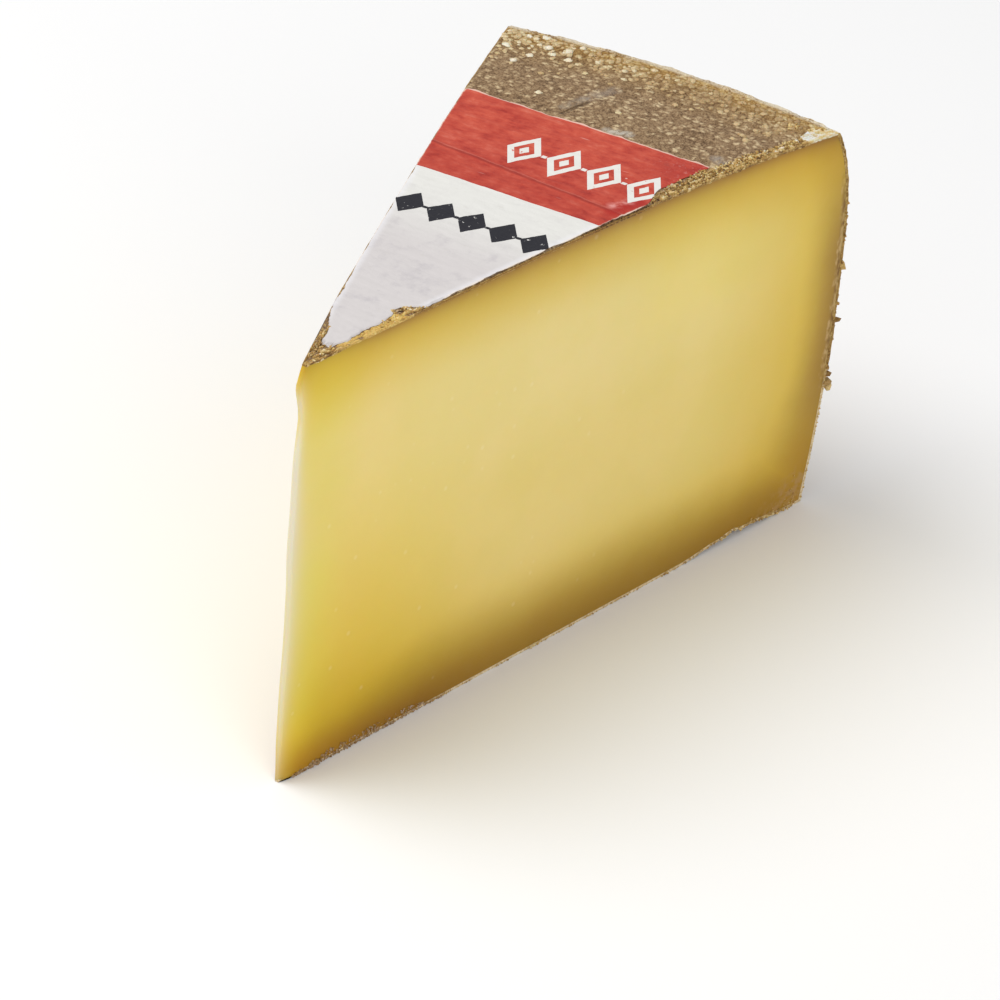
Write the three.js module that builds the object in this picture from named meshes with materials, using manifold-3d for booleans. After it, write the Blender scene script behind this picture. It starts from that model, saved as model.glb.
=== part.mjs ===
// A wedge of aged mountain cheese, cut from the outer part of a big pressed wheel, with its natural
// rind and the piece of printed paper that was stuck to the wheel's top face.
// Millimetres, +Z up. +X runs from the thin point of the wedge to the rind of the wheel's side,
// halfway between the two cut faces, and the origin is under the middle of the wedge, where it stands.
import * as THREE from "three";
import { ImprovedNoise } from "three/addons/math/ImprovedNoise.js";
import { mergeVertices } from "three/addons/utils/BufferGeometryUtils.js";
import Module from "manifold-3d";

// Driving dimensions of the wedge
const CUT_LENGTH = 200; // from the point to the wheel's edge, along either cut face
const WEDGE_ANGLE = THREE.MathUtils.degToRad(27.7); // between the two cut faces
const POINT_WIDTH = 2; // the point is a little blunt
const POINT_ROUNDING = 0.9; // how far back its two corners are rounded off
const POINT_X = -102.8; // where the point is, so that the origin is under the middle

// Driving dimensions of the wheel that it was cut from
const WHEEL_RADIUS = 285; // of the top and the bottom edge
const WHEEL_HEIGHT = 122; // at the wheel's middle
const EDGE_DROP = 9; // how far the top face falls towards its edge
const HEEL_BULGE = 7.2; // how far the side stands out past the edges
const HEEL_BELLY = 0.62; // how high up the side, as a share, it stands out the most

// Relief of the rind, and the crumbs along its cut edges
const TOP_RELIEF = { height: 0.55, size: 9 };
const HEEL_RELIEF = { height: 0.8, size: 11 };
const FINE_RELIEF = { height: 0.45, size: 4.5 };
const BLOCK_CELLS = [50, 30, 33]; // along the wedge, across it and up it
const BLOCK_SPARE = { point: 6, sides: 1.08, bottom: 0.03 }; // how far the block reaches past the cuts
const CRUMB_STEP = 7; // one crumb about every so many millimetres of edge
const CRUMB_RADIUS = [0.8, 1.7];
const CRUMB_STRETCH = 0.9; // how much longer than wide they are
const CRUMB_SUNK = { rind: 0.4, label: 1.3, heel: 0.6, cut: 0.5 }; // how deep they sit, in radii
const CRUMB_SEED = 20;

// How the point's upright edge wanders: bumps (plus) and hollows (minus) at heights, over a reach
const POINT_WAVES = [
  { out: 0.7, height: 116, reach: 5 },
  { out: -0.7, height: 105, reach: 6 },
  { out: 0.9, height: 0, reach: 9 },
];

// The chip broken off the rind's corner, where the front cut meets the side
const CHIP = { along: 192, height: 114.6, size: [6.5, 5, 1.6] };

// The label: printed paper, its straight outer edge and its torn tip, measured from the point
const LABEL_TIP = 11.5;
const LABEL_END = 150;
const LABEL_THICKNESS = 0.4;
const LABEL_GAP = 0.35; // of air, kept between the label's solid and the rind's
const LABEL_CALM = 0.35; // the share of the rind's relief that is left under the paper

// How far the label's torn long edges stay inside the cuts, and where they draw back or run out
const LABEL_MARGIN = { front: 1.2, back: 0.7, least: 0.5 };
const LABEL_TEARS = [{ height: 0.45, length: 3.1, turn: 1 }, { height: 0.35, length: 1.7, turn: -1 }];
const LABEL_TIP_TORN = { height: 2.2, reach: 9 };
const LABEL_MIDDLE_FULL = { height: 0.8, at: 92, reach: 12 };
const LABEL_CORNER_TORN = { height: 3.9, from: 108, to: 134 };

const HALF_ANGLE = WEDGE_ANGLE / 2;
const EDGE_HEIGHT = WHEEL_HEIGHT - EDGE_DROP;
const HALF_CHORD = POINT_WIDTH / 2 + CUT_LENGTH * Math.sin(HALF_ANGLE);
const WHEEL_AXIS_X = POINT_X + CUT_LENGTH * Math.cos(HALF_ANGLE)
  - Math.sqrt(WHEEL_RADIUS ** 2 - HALF_CHORD ** 2);

const wasm = await Module();
wasm.setup();

// A closed three.js geometry as a solid that can be joined and cut.
function solidOf(geometry) {
  const bare = geometry.clone();
  bare.deleteAttribute("normal");
  bare.deleteAttribute("uv");
  const merged = mergeVertices(bare, 1e-4);
  return new wasm.Manifold(new wasm.Mesh({
    numProp: 3,
    vertProperties: new Float32Array(merged.attributes.position.array),
    triVerts: new Uint32Array(merged.index.array),
  }));
}

// And back again, as a geometry with flat faces.
function geometryOf(solid) {
  const mesh = solid.getMesh();
  const geometry = new THREE.BufferGeometry();
  geometry.setAttribute("position", new THREE.BufferAttribute(mesh.vertProperties, 3));
  geometry.setIndex(new THREE.BufferAttribute(mesh.triVerts, 1));
  const faceted = geometry.toNonIndexed();
  faceted.computeVertexNormals();
  return faceted;
}

// Numbers from 0 to 1 that are the same on every run.
function seededRandom(seed) {
  let state = seed;
  return () => {
    state = (state * 1664525 + 1013904223) % 4294967296;
    return state / 4294967296;
  };
}

// Moves every vertex of a geometry to where a function puts it.
function reshape(geometry, place) {
  const position = geometry.attributes.position;
  const point = new THREE.Vector3();
  for (let i = 0; i < position.count; i += 1) {
    point.fromBufferAttribute(position, i);
    position.setXYZ(i, ...place(point.x, point.y, point.z).toArray());
  }
  return geometry;
}

const noise = new ImprovedNoise();

function relief({ height, size }, x, y, z) {
  return height * noise.noise(x / size, y / size, z / size);
}

// Half of the wedge's width at a distance along it.
function halfWidth(x) {
  return POINT_WIDTH / 2 + (x - POINT_X) * Math.tan(HALF_ANGLE);
}

// How far the label's two long edges stay inside the cut faces. They are torn, so they wander,
// and the front one reaches the cut at its middle and draws back towards the label's straight end.
function labelMargin(x, side) {
  const along = x - POINT_X;
  let margin = side < 0 ? LABEL_MARGIN.front : LABEL_MARGIN.back;
  for (const { height, length, turn } of LABEL_TEARS) {
    margin += height * Math.sin(along / length + turn * side);
  }
  margin += LABEL_TIP_TORN.height * Math.exp(-(along - LABEL_TIP) / LABEL_TIP_TORN.reach);
  if (side < 0) {
    const { height, from, to } = LABEL_CORNER_TORN;
    const fromMiddle = (along - LABEL_MIDDLE_FULL.at) / LABEL_MIDDLE_FULL.reach;
    margin += height * THREE.MathUtils.smoothstep(along, from, to);
    margin -= LABEL_MIDDLE_FULL.height * Math.exp(-(fromMiddle ** 2));
  }
  return Math.max(LABEL_MARGIN.least, margin);
}

function underLabel(x, y) {
  const along = x - POINT_X;
  const margin = labelMargin(x, Math.sign(y));
  return along > LABEL_TIP - 2 && along < LABEL_END + 2 && Math.abs(y) < halfWidth(x) - margin + 2;
}

// The top face falls slowly from the wheel's middle, then faster near its edge.
function topHeight(x, y) {
  const radius = Math.hypot(x - WHEEL_AXIS_X, y);
  const calm = underLabel(x, y) ? LABEL_CALM : 1;
  const lumps = relief(TOP_RELIEF, x, y, 0) + relief(FINE_RELIEF, x, y, 40);
  return WHEEL_HEIGHT - EDGE_DROP * (radius / WHEEL_RADIUS) ** 4 + calm * lumps;
}

// The wheel's side leans out from both edges to its belly, more briskly from the top one.
function sideRadius(share) {
  const below = 1 - (Math.abs(share - HEEL_BELLY) / HEEL_BELLY) ** 1.8;
  const above = 1 - (Math.abs(share - HEEL_BELLY) / (1 - HEEL_BELLY)) ** 3.5;
  return WHEEL_RADIUS + HEEL_BULGE * (share < HEEL_BELLY ? below : above);
}

// The rind of the side is lumpy too.
function sideLumps(angle, height) {
  const around = angle * WHEEL_RADIUS;
  return relief(HEEL_RELIEF, around, height, 7) + relief(FINE_RELIEF, around, height, 80);
}

// A block of the wheel, longer, wider and deeper than the wedge, as a box that is bent into the
// wheel's shape: its X becomes the distance from the wheel's axis, its Y the angle, its Z the height.
function wheelBlock() {
  const innerRadius = POINT_X - WHEEL_AXIS_X - BLOCK_SPARE.point;
  const reach = Math.asin(HALF_CHORD / WHEEL_RADIUS) * BLOCK_SPARE.sides;
  const box = new THREE.BoxGeometry(1, 1, 1, ...BLOCK_CELLS);
  return reshape(box, (bx, by, bz) => {
    const share = THREE.MathUtils.lerp(-BLOCK_SPARE.bottom, 1, bz + 0.5);
    const angle = 2 * by * reach;
    const outerRadius = sideRadius(share) + sideLumps(angle, share * EDGE_HEIGHT);
    const radius = THREE.MathUtils.lerp(innerRadius, outerRadius, bx + 0.5);
    const x = WHEEL_AXIS_X + radius * Math.cos(angle);
    const y = radius * Math.sin(angle);
    return new THREE.Vector3(x, y, share * topHeight(x, y));
  });
}

// How far the point's edge stands out at a height.
function pointWave(height) {
  const bump = (wave) => wave.out * Math.exp(-(((height - wave.height) / wave.reach) ** 2));
  return POINT_WAVES.reduce((sum, wave) => sum + bump(wave), 0);
}

// The space between the two cuts, from the blunt and wavy point to past the rind, and from the
// flat bottom to above the top.
function cutPrism() {
  const far = POINT_X + CUT_LENGTH + 20;
  const blunt = POINT_X + POINT_ROUNDING;
  const plan = new THREE.Shape();
  plan.moveTo(POINT_X, -POINT_WIDTH / 4);
  plan.lineTo(blunt, -halfWidth(blunt));
  plan.lineTo(far, -halfWidth(far));
  plan.lineTo(far, halfWidth(far));
  plan.lineTo(blunt, halfWidth(blunt));
  plan.lineTo(POINT_X, POINT_WIDTH / 4);
  const depth = WHEEL_HEIGHT + 20;
  const prism = new THREE.ExtrudeGeometry(plan, { depth, steps: 40, bevelEnabled: false });
  return reshape(prism, (x, y, z) => new THREE.Vector3(x > blunt ? x : x - pointWave(z), y, z));
}

// What is missing where the rind's corner broke off: a flat lump that is taken out.
function chip() {
  const lump = new THREE.IcosahedronGeometry(1, 1);
  lump.scale(...CHIP.size);
  lump.rotateZ(-HALF_ANGLE);
  const x = POINT_X + CHIP.along * Math.cos(HALF_ANGLE);
  return lump.translate(x, -halfWidth(x), CHIP.height);
}

// One crumb of rind, a flat-faced lump that is drawn out along the edge by chance.
function crumb(place, radius, direction, random) {
  const lump = new THREE.IcosahedronGeometry(radius, 0);
  lump.rotateX(Math.PI * random());
  lump.scale(0.7 + 0.3 * random(), 0.7 + 0.3 * random(), 0.7 + 0.3 * random());
  lump.applyMatrix4(new THREE.Matrix4().makeScale(...direction.map((share) => 1 + CRUMB_STRETCH * share)));
  lump.rotateZ(Math.sign(place.y) * HALF_ANGLE);
  return lump.translate(place.x, place.y, place.z);
}

// Crumbs all along the cut edges of the rind: the top, the heel and the bottom of both cut faces.
function rindCrumbs() {
  const random = seededRandom(CRUMB_SEED);
  const [smallest, largest] = CRUMB_RADIUS;
  const crumbs = [];
  const lying = [1, 0, 0];
  const upright = [0, 0, 1];
  const far = POINT_X + CUT_LENGTH * Math.cos(HALF_ANGLE);
  for (const side of [-1, 1]) {
    for (let x = POINT_X + 4; x < far - largest; x += CRUMB_STEP * (0.5 + random())) {
      const radius = smallest + (largest - smallest) * random();
      const y = side * (halfWidth(x) - radius * (CRUMB_SUNK.cut + 0.15 * random()));
      const sunk = underLabel(x, y) ? CRUMB_SUNK.label : CRUMB_SUNK.rind;
      crumbs.push(crumb(new THREE.Vector3(x, y, topHeight(x, y) - sunk * radius), radius, lying, random));
      const low = smallest * (1 + 0.4 * random());
      const lowY = side * (halfWidth(x) - low * CRUMB_SUNK.cut);
      crumbs.push(crumb(new THREE.Vector3(x, lowY, 1.2 * low), low, lying, random));
    }
    for (let share = 0.08; share < 0.94; share += CRUMB_STEP / EDGE_HEIGHT * (0.7 + random())) {
      const radius = smallest + (largest - smallest) * random();
      const lumps = sideLumps(side * HALF_CHORD / WHEEL_RADIUS, share * EDGE_HEIGHT);
      const reach = CUT_LENGTH + sideRadius(share) - WHEEL_RADIUS + lumps - CRUMB_SUNK.heel * radius;
      const x = POINT_X + reach * Math.cos(HALF_ANGLE);
      const y = side * (halfWidth(x) - CRUMB_SUNK.heel * radius);
      crumbs.push(crumb(new THREE.Vector3(x, y, share * EDGE_HEIGHT), radius, upright, random));
    }
  }
  return crumbs;
}

// The whole wedge: the block of the wheel, cut, with its crumbs and its chipped corner, in one solid.
function cheeseWedge() {
  const uncrumbed = solidOf(wheelBlock()).intersect(solidOf(cutPrism()));
  const whole = rindCrumbs().reduce((wedge, lump) => wedge.add(solidOf(lump)), uncrumbed);
  return geometryOf(whole.subtract(solidOf(chip())));
}

// The label: a thin box, bent to the top face and narrowed to the wedge, tip to straight end.
function label() {
  const box = new THREE.BoxGeometry(1, 1, 1, 44, 8, 1);
  return reshape(box, (bx, by, bz) => {
    const x = POINT_X + THREE.MathUtils.lerp(LABEL_TIP, LABEL_END, bx + 0.5);
    const front = -halfWidth(x) + labelMargin(x, -1);
    const back = halfWidth(x) - labelMargin(x, 1);
    const y = THREE.MathUtils.lerp(front, back, by + 0.5);
    return new THREE.Vector3(x, y, topHeight(x, y) + LABEL_GAP + (bz + 0.5) * LABEL_THICKNESS);
  });
}

function part(name, geometry, colour, roughness) {
  const material = new THREE.MeshStandardMaterial({ color: colour, roughness, metalness: 0 });
  const mesh = new THREE.Mesh(geometry, material);
  mesh.name = name;
  return mesh;
}

const cheese = new THREE.Group();
cheese.add(part("cheese_wedge", cheeseWedge(), 0xdcc882, 0.55));
cheese.add(part("label", label(), 0xe4e0da, 0.8));

export default cheese;
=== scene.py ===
"""A wedge of aged mountain cheese, with its rind and the printed paper on its top, in metres."""
import math
import random

import bmesh
import bpy
from mathutils import Matrix, Vector, noise


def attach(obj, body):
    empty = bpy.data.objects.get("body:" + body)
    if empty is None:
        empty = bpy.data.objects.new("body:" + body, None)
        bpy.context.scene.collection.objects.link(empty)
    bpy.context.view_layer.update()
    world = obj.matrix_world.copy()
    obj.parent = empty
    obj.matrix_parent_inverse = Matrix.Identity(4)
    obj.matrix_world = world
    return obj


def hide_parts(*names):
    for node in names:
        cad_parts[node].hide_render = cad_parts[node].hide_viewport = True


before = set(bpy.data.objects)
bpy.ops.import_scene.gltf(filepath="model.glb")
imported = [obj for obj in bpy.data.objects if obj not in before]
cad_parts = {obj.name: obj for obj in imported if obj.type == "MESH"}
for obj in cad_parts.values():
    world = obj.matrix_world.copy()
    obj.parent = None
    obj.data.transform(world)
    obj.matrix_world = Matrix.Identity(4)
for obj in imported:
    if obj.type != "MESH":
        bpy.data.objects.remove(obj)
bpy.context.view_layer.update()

MM = 0.001

# The wedge, cut from the outer part of a big wheel. X runs from its point to the wheel's side.
CUT_LENGTH = 200 * MM
HALF_ANGLE = math.radians(27.7 / 2)
POINT_X = -102.8 * MM
POINT_WIDTH = 2 * MM
POINT_ROUNDING = 0.7 * MM
WHEEL_RADIUS = 285 * MM
WHEEL_HEIGHT = 122 * MM
EDGE_DROP = 9 * MM
HEEL_BULGE = 7.2 * MM
HEEL_BELLY = 0.62
EDGE_HEIGHT = WHEEL_HEIGHT - EDGE_DROP
HALF_CHORD = POINT_WIDTH / 2 + CUT_LENGTH * math.sin(HALF_ANGLE)
RIM_X = POINT_X + CUT_LENGTH * math.cos(HALF_ANGLE)
AXIS_X = RIM_X - math.sqrt(WHEEL_RADIUS ** 2 - HALF_CHORD ** 2)
WHEEL_AXIS = Vector((AXIS_X, 0, 0))
HALF_REACH = math.asin(HALF_CHORD / WHEEL_RADIUS)  # half of the wedge's angle, as the axis sees it

# The rind, and how finely its faces are divided
RIND_THICKNESS = 0.75 * MM
SIDE_RIND_THICKNESS = 0.9 * MM
RIND_PROUD = 0.03 * MM  # how far its cut edge stands out of the cut cheese
FINE_STEP = 0.62 * MM
COARSE_STEP = 4 * MM
SPINE_X = POINT_X - 6 * MM  # where the wheel's section begins, beyond the wedge's point
STRIP_GRID = {"x_subdivisions": 900, "y_subdivisions": 28}
COARSE_TURNS = 40
FINE_TURNS = 165
SPARE_TURN = 1.06  # the wheel's section turns this much further than the wedge
SLICE = 3 * MM  # the cut cheese is sliced this finely
SAME_PLACE = 1e-6  # points closer than this are one
NEAR = 0.05 * MM  # points closer than this to a face are on it
SHARP = math.radians(40)  # edges sharper than this stay sharp
VERY_SHARP = math.radians(50)  # the same, on the broken strips
LIP = 0.7 * MM  # how far the broken rind hangs over the top of a cut
LIP_SHARE = 0.2  # of the strip's width in the grid
CHIP_AT = 194  # along the front cut, where the rind's corner is broken off
CHIP_REACH = (8.5, 6.6)  # along the cut, and in from it
DARK_SCAR = ((153.2, 11), (163.4, 8.8))  # lines on the top, from one place to another
PALE_SCAR = ((157, 12.8), (164.5, 10.6))
GREY_SCAR = ((165, 10.4), (175, 7.2))
GREY_PATCH = ((151.8, -3.5), (153.2, -8))
CORNER_PATCH = ((155.5, -33), (155, -36.5))
BIG_FLAKES = (  # distance from the point, place across, and radius
    (187, 32.9, 1.25), (184.1, 30.1, 1.1), (188.2, 27.8, 1.35), (183.5, 25.1, 1.1), (173.2, 36.2, 1),
    (179.3, 34.4, 1), (181.5, 42.7, 1.3), (187.8, 18.7, 1), (182.5, 8.3, 0.75), (193.7, 5.2, 0.9),
    (191.5, -2.7, 0.75), (160.1, 21.7, 1.05), (163.2, -0.1, 0.85), (190.7, 40.8, 1), (192.7, 36.8, 1.1),
    (192.9, 25.9, 0.95), (187.3, 10.7, 0.85), (189.8, 9.1, 0.75), (179, -35.7, 1.3), (184.1, -37.6, 0.9),
    (182.8, -33.1, 0.95), (170.6, -33.4, 1), (173.3, -31, 0.95), (182.8, -28.5, 0.8), (178.1, -26.9, 0.95),
    (178.6, -32.2, 0.8), (169.8, -29.9, 0.8),
)
POINT_OUTLINE = (  # height, and how far the point's edge stands out there
    (0, -0.9), (11, -0.75), (24, -0.7), (44, -1.35), (54, -1.15), (69, -0.2), (83, -0.55), (93, -0.6),
    (100, -1.3), (104, -2.1), (106, -2.1), (109, -1.5), (112, -0.35), (114.5, 0.7), (117, 1.1), (119, 0.5),
    (121.5, -0.9), (123, -1.1),
)
HEEL_LUMPS = (  # share of the height, size, and how far its middle stands out of the rind
    (0.79, 0.6, 0.1), (0.76, 0.6, 0.15), (0.73, 0.7, 0.1), (0.7, 0.6, 0.05), (0.624, 1.25, 0.15),
    (0.563, 0.4, 0.25), (0.52, 0.6, 0), (0.474, 0.95, 0.15), (0.42, 0.6, 0.25), (0.347, 0.9, 0.3),
    (0.329, 1.1, 0.6), (0.308, 1.5, 1.1), (0.292, 1.2, 2.2),
)

# How many crumbs and flakes lie where: first those on each cut, then those on the front one alone
STRIP_CRUMBS = 620
FOOT_CRUMBS = 1000
POINT_CRUMBS = 420
HEEL_CRUMBS = 640
CORNER_CRUMBS = 60
BAND_CRUMBS = 300
# dark crumbs, a painted shadow under the label's torn front edge
SHADOW_LINE_CRUMBS = 90
NOTCH_CRUMBS = 22
CHIP_CRUMBS = 90
LOOSE_CRUMBS = 7
LOOSE_CRUMBS_AT = (192.6, 8.2)  # along the front cut, and in from it
TOP_FLAKES = 440
SIDE_FLAKES = 220
LUMP_SHAPES = 6  # how many shapes the crumbs have, and the flakes
CRUMB_SEED = 12
FLAKE_SEED = 5

# Tints of the broken rind
GOLDEN = Vector((1, 1, 1))
BUTTERY = Vector((1.02, 0.96, 0.68))
GREYED = Vector((0.82, 0.82, 0.92))
FROSTED = Vector((0.88, 0.92, 1.04))
CREAMY = Vector((0.9, 0.88, 0.77))
# grey-lilac, darkened partly as painted shade by the point's foot
LILAC_AND_SHADE = Vector((0.62, 0.56, 0.66))

# The label, by its distances from the point
LABEL_TIP = 11.5 * MM
LABEL_END = 150 * MM
PAPER_THICKNESS = 0.15 * MM
LABEL_LIFT = 0.22 * MM
LABEL_GRID = {"x_subdivisions": 220, "y_subdivisions": 70}
LABEL_MARGIN = {-1: 0.2, 1: 0.3}  # how far it stays inside the front cut (-1) and the back one (1)
LABEL_TEARS = {-1: 0.33, 1: 0.25}  # how much its torn edges wander
TORN_TIP = {-1: (38.5, 42.5), 1: (17, 26)}  # where the wider margin by its tip ends
# Painted shade of a small dark pit beside the label's torn edge; the strip's shape has no hollow there
PIT_SHADE = (36.2, -7.1)  # a dark hollow beside it
NOTCH = (36.8, 3, 2.6)  # where the label is torn further in there, how far along, and how deep
# A darker red streak by the front cut, and a painted highlight beside it
DARK_RED_STREAK = ((111.5, -25.8), (121, -28.6))  # darker red, with a paler line beside it
PALE_HIGHLIGHT_STREAK = ((114.6, -24), (119.3, -26.2))
RED_FROM = 103.4
CREASE_AT = 114.3
CREASE_SLANT = 0.1
WHITE_ROW_AT = (127.5, -3.3)  # the two rows of lozenges
WHITE_ROW_SIZES = (18, 9.8, 11.5)  # their height, width and pitch
WHITE_ROW_END = 13.2
BLACK_ROW_AT = (85, 0)
BLACK_ROW_SIZES = (12, 8.2, 8.9)

# The camera, as the photograph was taken: far away, with a long lens, and turned a little
CAMERA_AIM = Vector((100, 0, 55)) * MM + Vector((POINT_X, 0, 0))
CAMERA_AZIMUTH = math.radians(-63.625)
CAMERA_ELEVATION = math.radians(32.106)
CAMERA_ROLL = math.radians(4.581)
CAMERA_SIDESTEP = 5.823 * MM
CAMERA_RISE = -19.470 * MM
CAMERA_DISTANCE = 1837.46 * MM
FOCAL_LENGTH_IN_WIDTHS = 7.2
SENSOR_WIDTH = 36


# Camera, light and floor

def set_camera():
    flat = math.cos(CAMERA_ELEVATION)
    back = Vector((0, -flat, math.sin(CAMERA_ELEVATION)))
    back.rotate(Matrix.Rotation(CAMERA_AZIMUTH, 3, "Z"))
    level_right = Vector((math.cos(CAMERA_AZIMUTH), math.sin(CAMERA_AZIMUTH), 0))
    level_up = back.cross(level_right)
    right = math.cos(CAMERA_ROLL) * level_right + math.sin(CAMERA_ROLL) * level_up
    up = back.cross(right)
    aim = CAMERA_AIM + CAMERA_SIDESTEP * level_right + CAMERA_RISE * level_up
    data = bpy.data.cameras.new("camera")
    data.sensor_width = SENSOR_WIDTH
    data.lens = SENSOR_WIDTH * FOCAL_LENGTH_IN_WIDTHS
    data.clip_end = 20  # metres
    camera = bpy.data.objects.new("camera", data)
    turned = Matrix((right, up, back)).transposed().to_4x4()
    camera.matrix_world = Matrix.Translation(aim + back * CAMERA_DISTANCE) @ turned
    bpy.context.collection.objects.link(camera)
    bpy.context.scene.camera = camera


def add_softbox(name, place, size, watts, colour=(1, 1, 1)):
    data = bpy.data.lights.new(name, "AREA")
    data.shape = "DISK"
    data.size = size
    data.energy = watts
    data.color = colour
    lamp = bpy.data.objects.new(name, data)
    lamp.location = place
    lamp.rotation_euler = Vector(place).to_track_quat("Z", "Y").to_euler()
    bpy.context.collection.objects.link(lamp)


def set_light():
    world = bpy.data.worlds.new("studio")
    world.use_nodes = True
    background = world.node_tree.nodes["Background"]
    background.inputs["Color"].default_value = (1, 1, 1, 1)
    background.inputs["Strength"].default_value = 0.55
    bpy.context.scene.world = world
    add_softbox("overhead softbox", (-0.35, 0.75, 1.5), 1.2, 17)
    add_softbox("front softbox", (-1.3, -1.4, 1.0), 1.4, 11)
    bpy.context.scene.view_settings.view_transform = "Standard"


def lay_floor():
    bpy.ops.mesh.primitive_plane_add(size=8, location=(0, 0, -0.1 * MM))
    floor = bpy.context.object
    floor.name = "floor"
    finish = Finish("pale floor", roughness=0.9, specular=0.2, colour=(0.92, 0.92, 0.92))
    floor.data.materials.append(finish.material)


# Materials

def maths_method(operation):
    return lambda self, other=0: self.finish.maths(operation, self, other)


class Signal:
    """A socket's value, which adds Math nodes when it is used in an expression."""

    def __init__(self, finish, socket):
        self.finish = finish
        self.socket = socket

    def __rsub__(self, other):
        return self.finish.maths("SUBTRACT", other, self)

    __add__ = __radd__ = maths_method("ADD")
    __sub__ = maths_method("SUBTRACT")
    __mul__ = __rmul__ = maths_method("MULTIPLY")
    __truediv__ = maths_method("DIVIDE")
    __pow__ = maths_method("POWER")
    __abs__ = maths_method("ABSOLUTE")
    __mod__ = maths_method("FLOORED_MODULO")
    __lt__ = maths_method("LESS_THAN")
    __gt__ = maths_method("GREATER_THAN")


class Finish:
    """One material: its nodes, the shader that they feed, and the paint that it has so far."""

    def __init__(self, name, colour=None, roughness=0.5, specular=0.5, **more):
        self.material = bpy.data.materials.new(name)
        self.material.use_nodes = True
        self.tree = self.material.node_tree
        self.shader = self.tree.nodes["Principled BSDF"]
        self.paint = None
        self.shader.inputs["Roughness"].default_value = roughness
        self.shader.inputs["Specular IOR Level"].default_value = specular
        if colour is not None:
            self.shader.inputs["Base Color"].default_value = (*colour, 1)
        for socket, value in more.items():
            self.shader.inputs[socket.replace("_", " ").title()].default_value = value

    def node(self, kind, settings=None, values=None, output=0):
        """Adds a node, with its settings first, then the values or links of its sockets."""
        node = self.tree.nodes.new("ShaderNode" + kind)
        for key, value in (settings or {}).items():
            if key == "stops":
                self.set_stops(node.color_ramp.elements, value)
            else:
                setattr(node, key, value)
        for key, value in (values or {}).items():
            self.feed(node.inputs[key], value)
        return Signal(self, node.outputs[output])

    def set_stops(self, elements, stops):
        while len(elements) < len(stops):
            elements.new(1)
        for element, (place, *colour) in zip(elements, stops):
            element.position = place
            element.color = (*srgb(*colour), 1)

    def feed(self, socket, value):
        if isinstance(value, Signal):
            self.tree.links.new(value.socket, socket)
        elif hasattr(value, "__len__") and len(value) == 3 and socket.type == "RGBA":
            socket.default_value = (*value, 1)
        else:
            socket.default_value = value

    def maths(self, operation, first, second=0):
        return self.node("Math", {"operation": operation}, {0: first, 1: second})

    def mix(self, share, first, second, way="MIX"):
        settings = {"data_type": "RGBA", "blend_type": way, "clamp_factor": True}
        return self.node("Mix", settings, {0: share, 6: first, 7: second}, 2)

    def cover(self, share, colour):
        """Lays a colour over the paint: a ramp's, or red, green and blue from 0 to 255."""
        self.paint = self.mix(share, self.paint, colour if isinstance(colour, Signal) else srgb(*colour))

    def stain(self, share, tint):
        """Multiplies the paint by a tint."""
        self.paint = self.mix(share, self.paint, tint, "MULTIPLY")

    def place(self):
        """Object coordinates in millimetres, with X counted from the wedge's point."""
        where = self.node("TexCoord", output=3)
        x, y, z = (self.node("SeparateXYZ", values={0: where}, output=axis) * 1000 for axis in range(3))
        return where, x - POINT_X / MM, y, z

    def finished(self, height, depth_mm, roughness=None):
        """The material, with its paint, its roughness and its bumps on the shader."""
        self.feed(self.shader.inputs["Base Color"], self.paint)
        if roughness is not None:
            self.feed(self.shader.inputs["Roughness"], roughness)
        bump = self.node("Bump", values={"Height": height, "Distance": depth_mm * MM})
        self.feed(self.shader.inputs["Normal"], bump)
        return self.material


def srgb(red, green, blue):
    """A colour as a screen shows it, from 0 to 255, as the linear colour that a shader takes."""
    def linear(value):
        share = value / 255
        return share / 12.92 if share <= 0.04045 else ((share + 0.055) / 1.055) ** 2.4
    return linear(red), linear(green), linear(blue)


def least(first, second):
    return first.finish.maths("MINIMUM", first, second)


def most(first, second):
    return first.finish.maths("MAXIMUM", first, second)


def rise(value, low, high):
    """0 below low, 1 above high, and a smooth rise between them."""
    values = {"Value": value, "From Min": low, "From Max": high}
    return value.finish.node("MapRange", {"interpolation_type": "SMOOTHSTEP"}, values)


def fall(value, low, high):
    return 1 - rise(value, low, high)


def fade(value):
    """1 at 0, and less and less beyond it."""
    return value.finish.maths("EXPONENT", value / -1)


def ramp(value, *stops):
    """A colour by a value. Each stop is a place from 0 to 1, then red, green and blue from 0 to 255."""
    return value.finish.node("ValToRGB", {"stops": stops}, {"Fac": value})


def squeezed(where, scale):
    return where.finish.node("Mapping", values={"Vector": where, "Scale": scale})


def grain(where, size, detail=2, roughness=0.5):
    """Smooth noise from 0 to 1, with lumps of a size in mm."""
    values = {"Vector": where, "Scale": 1 / (size * MM), "Detail": detail, "Roughness": roughness}
    return where.finish.node("TexNoise", values=values)


def cells(where, size, output=0):
    """Cells of a size in mm: the distance from the nearest one's middle, or, as output 1, its own colour."""
    return where.finish.node("TexVoronoi", values={"Vector": where, "Scale": 1 / (size * MM)}, output=output)


def cell_draw(where, size):
    """A random number from 0 to 1 for each cell."""
    return where.finish.node("SeparateColor", values={0: cells(where, size, 1)})


def inside_cut(x, y):
    """How far a place is inside the nearer of the two cuts, in mm."""
    return (x * math.tan(HALF_ANGLE) + POINT_WIDTH / MM / 2 - abs(y)) * math.cos(HALF_ANGLE)


def streak(x, y, line, width):
    """1 on a line between two places, and 0 at a width from it."""
    (x0, y0), (x1, y1) = line
    reach = (x1 - x0) ** 2 + (y1 - y0) ** 2
    share = ((x - x0) * (x1 - x0) + (y - y0) * (y1 - y0)) / reach
    share = least(most(share, 0), 1)
    off = ((x - x0 - share * (x1 - x0)) ** 2 + (y - y0 - share * (y1 - y0)) ** 2) ** 0.5
    return fall(off, 0, width)


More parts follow.
